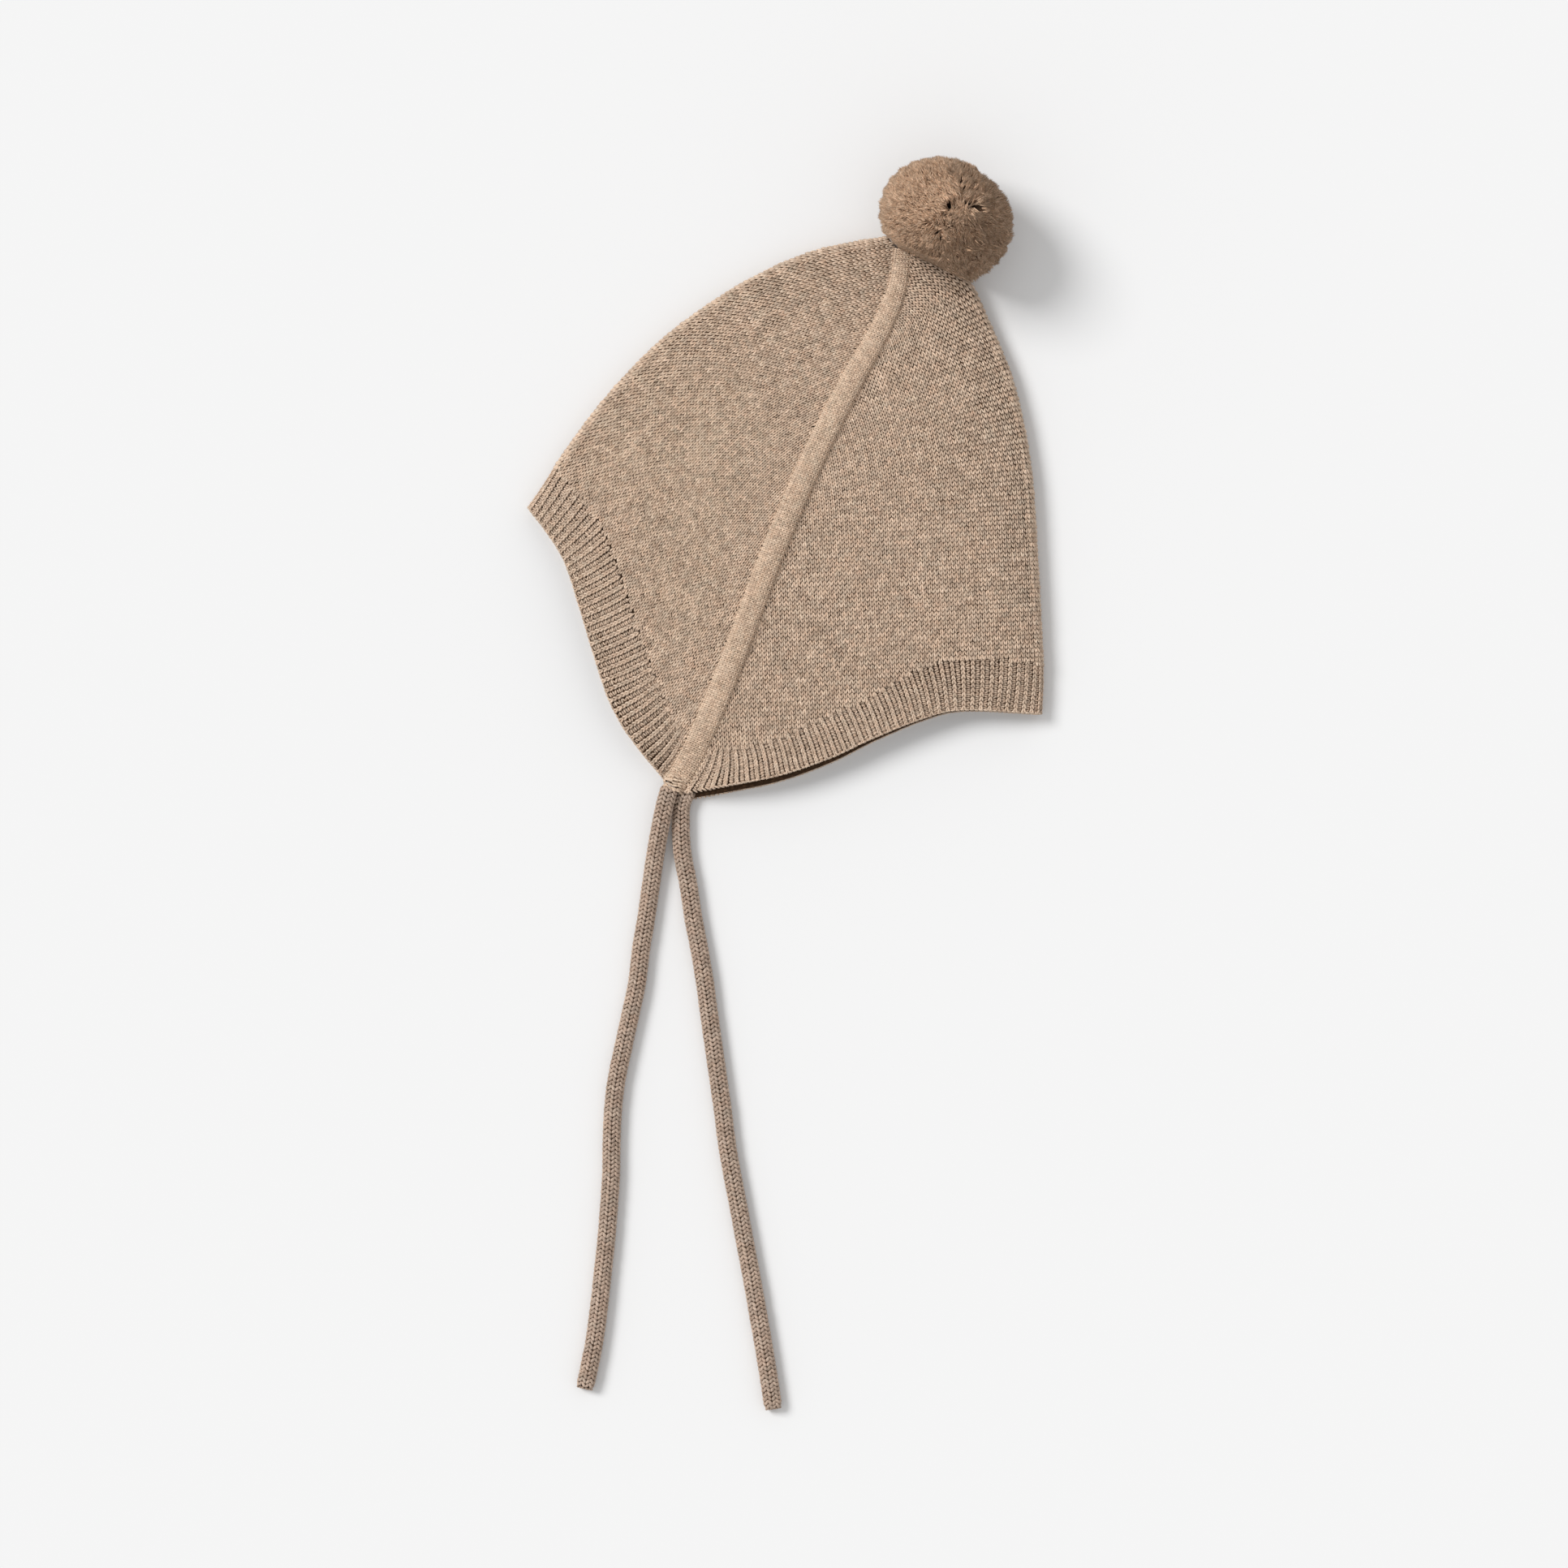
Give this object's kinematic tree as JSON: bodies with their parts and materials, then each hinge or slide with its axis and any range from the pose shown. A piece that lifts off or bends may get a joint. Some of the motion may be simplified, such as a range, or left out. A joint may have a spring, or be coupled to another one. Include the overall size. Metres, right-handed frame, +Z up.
{
  "type": "baby bonnet",
  "caption": "Knitted baby bonnet with a pompom, a raised cord on each side, ribbed face and neck bands and a tie at each ear tip, lying on its side.",
  "frame": {"origin": "bottom centre of the bonnet's box without its ties, on the surface that it lies on", "axes": "+Z up from the surface, +Y from the ear tips towards the crown, +X from the face edge towards the nape"},
  "size_m": [0.1907, 0.4624, 0.045],
  "materials": {
    "panel_knit": "plain knit in mottled beige-brown wool",
    "rib_knit": "one-by-one rib in mottled beige-brown wool",
    "cord_knit": "rolled knit in mottled beige-brown wool",
    "pompom_yarn": "cut wool pile",
    "tie_knit": "round knitted cord in mottled beige-brown wool"
  },
  "bodies": {
    "root": {"front_panel": "panel_knit", "back_panel": "panel_knit", "face_rib": "rib_knit", "neck_rib": "rib_knit", "side_cord_near": "cord_knit", "side_cord_far": "cord_knit", "pompom": "pompom_yarn", "tie_near": "tie_knit", "tie_far": "tie_knit"}
  },
  "joints": []
}
